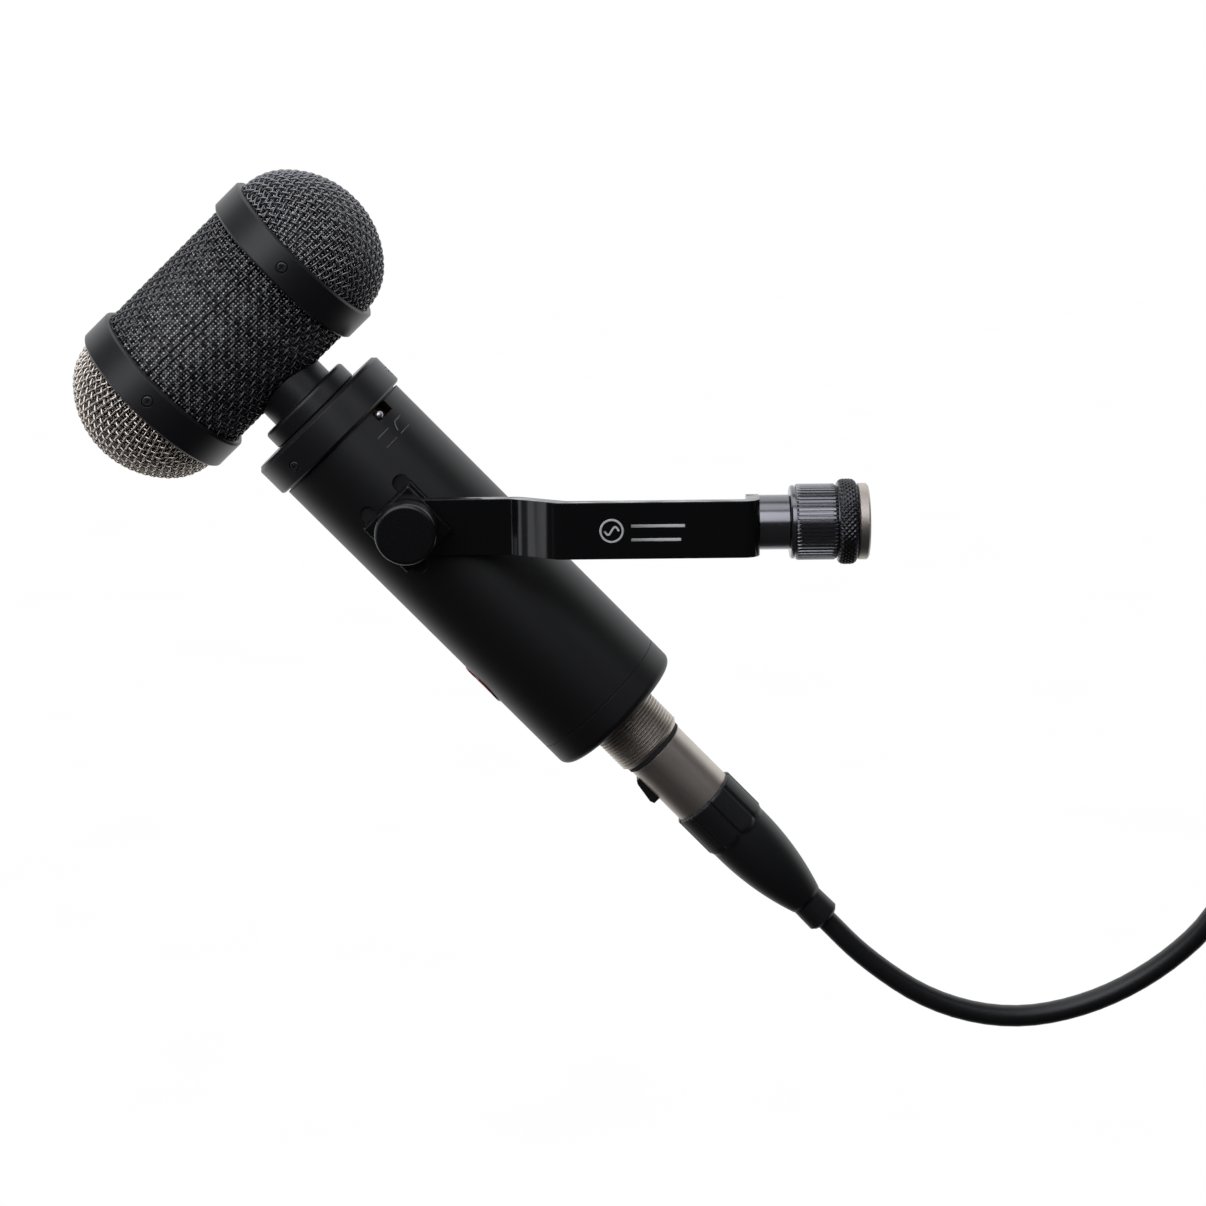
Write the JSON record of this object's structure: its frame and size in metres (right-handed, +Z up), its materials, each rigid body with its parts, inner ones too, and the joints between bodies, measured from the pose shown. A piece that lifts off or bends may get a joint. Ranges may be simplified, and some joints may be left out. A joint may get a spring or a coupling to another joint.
{
  "type": "ribbon microphone",
  "caption": "Cylindrical-headed studio microphone with woven grilles, on a cranked swivel arm with a stand thread, its lead plugged in and coiled.",
  "frame": {"origin": "centre of the stand adapter's outer face, where the stand's stud enters", "axes": "+X out of the adapter along the stud's axis, +Z up, +Y away from the side that carries the tilt knob"},
  "size_m": [0.45, 0.0726, 0.2889],
  "materials": {
    "black_wire": "black-coated woven wire, satin",
    "nickel_wire": "woven wire with a warm nickel finish",
    "ring_black": "smooth black coat, soft satin",
    "body_black": "fine matte black coat",
    "screw_black": "blackened steel",
    "cast_grey": "machined, plain",
    "soft_iron": "plain",
    "magnet_grey": "ground, plated",
    "foil": "bright thin foil",
    "insulator": "moulded, matte",
    "brass_bright": "bright",
    "steel": "plain",
    "rubber_black": "matte",
    "badge_red": "gloss enamel",
    "board_green": "solder mask",
    "copper_wire": "enamelled winding",
    "arm_black": "semi-gloss black with soft bevelled edges",
    "knob_black": "smooth, satin",
    "knurl_black": "glossy black nickel plating",
    "nylon_white": "plain",
    "nickel": "satin nickel, warm tint",
    "boot_black": "moulded, fine satin",
    "lead_black": "smooth satin jacket",
    "strap_black": "woven hook-and-loop tape"
  },
  "bodies": {
    "yoke": {"swivel_arm": "arm_black", "neck_post": "knurl_black", "flange_screw": "screw_black", "swivel_screw": "steel", "coil_strap": "strap_black", "lead_tube": "lead_black", "lead_coil": "lead_black", "lead_tail": "lead_black", "far_plug_boot": "boot_black", "far_plug_shell": "nickel", "far_plug_insert": "insulator", "far_plug_pins": "brass_bright"},
    "microphone": {"side_grille": "black_wire", "front_dome_grille": "nickel_wire", "rear_dome_grille": "black_wire", "front_ring": "ring_black", "rear_ring": "ring_black", "ring_screws": "screw_black", "head_frame": "cast_grey", "motor_yoke": "soft_iron", "motor_magnets": "magnet_grey", "pole_pieces": "soft_iron", "ribbon": "foil", "ribbon_end_blocks": "insulator", "ribbon_clamps": "brass_bright", "ribbon_clamp_screws": "steel", "motor_mounts": "rubber_black", "neck": "ring_black", "collar": "ring_black", "collar_screws": "screw_black", "body_tube": "body_black", "badge": "badge_red", "bottom_cap": "body_black", "chassis": "cast_grey", "circuit_board": "board_green", "transformer_core": "soft_iron", "transformer_winding": "copper_wire", "switch_body": "insulator", "backing_plate": "steel", "socket_shell": "nickel", "socket_nut": "steel", "socket_insert": "insulator", "socket_pins": "brass_bright", "plug_shell": "nickel", "plug_gasket": "rubber_black", "plug_insert": "insulator", "plug_boot": "boot_black", "plug_chuck": "nylon_white", "plug_bushing": "boot_black", "pivot_block": "arm_black", "pivot_screws": "screw_black", "friction_washers": "nylon_white", "clamp_plate": "arm_black"},
    "knob": {"tilt_knob": "knob_black", "knob_stud": "steel"},
    "filter_switch": {"switch_lever": "steel"},
    "latch": {"latch_tab": "boot_black"},
    "sleeve": {"thread_sleeve": "knurl_black", "thread_adapter": "nickel"},
    "lock_ring": {"lock_ring": "knurl_black"}
  },
  "joints": [
    {"name": "tilt", "type": "hinge", "parent": "yoke", "child": "microphone", "pos_m": [-0.1295, 0, 0], "axis": [0, 1, 0], "range_deg": [-80, 80]},
    {"name": "knob_turn", "type": "hinge", "parent": "microphone", "child": "knob", "pos_m": [-0.1295, -0.01, 0], "axis": [0, 1, 0], "continuous": true},
    {"name": "filter_slide", "type": "slide", "parent": "microphone", "child": "filter_switch", "axis": [0.4838, 0.7431, 0.4623], "range_m": [0, 0.003]},
    {"name": "latch_press", "type": "slide", "parent": "microphone", "child": "latch", "axis": [0.723, 0, 0.6909], "range_m": [0, 0.0008], "stiffness_N_per_m": 1200},
    {"name": "sleeve_turn", "type": "hinge", "parent": "yoke", "child": "sleeve", "pos_m": [-0.015, 0, 0], "axis": [1, 0, 0], "continuous": true},
    {"name": "lock_ring_turn", "type": "hinge", "parent": "sleeve", "child": "lock_ring", "pos_m": [-0.006, 0, 0], "axis": [1, 0, 0], "continuous": true}
  ]
}
